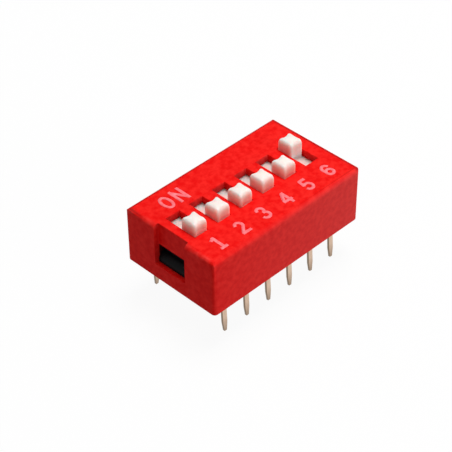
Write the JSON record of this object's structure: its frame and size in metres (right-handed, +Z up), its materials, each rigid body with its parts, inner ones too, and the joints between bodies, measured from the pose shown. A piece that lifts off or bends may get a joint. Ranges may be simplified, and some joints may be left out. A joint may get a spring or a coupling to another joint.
{
  "type": "dip switch",
  "caption": "Low moulded slide switch for a circuit board, with small finger knobs in slots over spring contacts, and straight pins along both long sides.",
  "frame": {"origin": "middle of the board seat, which is the lower rim of the cover", "axes": "+X along the row from position 1 to position 6, +Y towards the ON side, +Z up away from the board"},
  "size_m": [0.0168, 0.01, 0.01],
  "materials": {
    "cover_plastic": "fine moulded texture, matte",
    "base_plastic": "moulded, matte",
    "slider_plastic": "moulded, satin",
    "terminal_metal": "thin gold plating, satin",
    "spring_metal": "gold plating, satin"
  },
  "bodies": {
    "housing": {"cover": "cover_plastic", "base": "base_plastic", "terminal_1": "terminal_metal", "terminal_2": "terminal_metal", "terminal_3": "terminal_metal", "terminal_4": "terminal_metal", "terminal_5": "terminal_metal", "terminal_6": "terminal_metal", "terminal_7": "terminal_metal", "terminal_8": "terminal_metal", "terminal_9": "terminal_metal", "terminal_10": "terminal_metal", "terminal_11": "terminal_metal", "terminal_12": "terminal_metal"},
    "switch_1": {"slider_1": "slider_plastic", "contact_1": "spring_metal"},
    "switch_2": {"slider_2": "slider_plastic", "contact_2": "spring_metal"},
    "switch_3": {"slider_3": "slider_plastic", "contact_3": "spring_metal"},
    "switch_4": {"slider_4": "slider_plastic", "contact_4": "spring_metal"},
    "switch_5": {"slider_5": "slider_plastic", "contact_5": "spring_metal"},
    "switch_6": {"slider_6": "slider_plastic", "contact_6": "spring_metal"}
  },
  "joints": [
    {"name": "slide_1", "type": "slide", "parent": "housing", "child": "switch_1", "axis": [0, 1, 0], "range_m": [0, 0.00162]},
    {"name": "slide_2", "type": "slide", "parent": "housing", "child": "switch_2", "axis": [0, 1, 0], "range_m": [0, 0.00162]},
    {"name": "slide_3", "type": "slide", "parent": "housing", "child": "switch_3", "axis": [0, 1, 0], "range_m": [0, 0.00162]},
    {"name": "slide_4", "type": "slide", "parent": "housing", "child": "switch_4", "axis": [0, 1, 0], "range_m": [0, 0.00162]},
    {"name": "slide_5", "type": "slide", "parent": "housing", "child": "switch_5", "axis": [0, 1, 0], "range_m": [0, 0.00162]},
    {"name": "slide_6", "type": "slide", "parent": "housing", "child": "switch_6", "axis": [0, 1, 0], "range_m": [-0.00162, 0]}
  ]
}
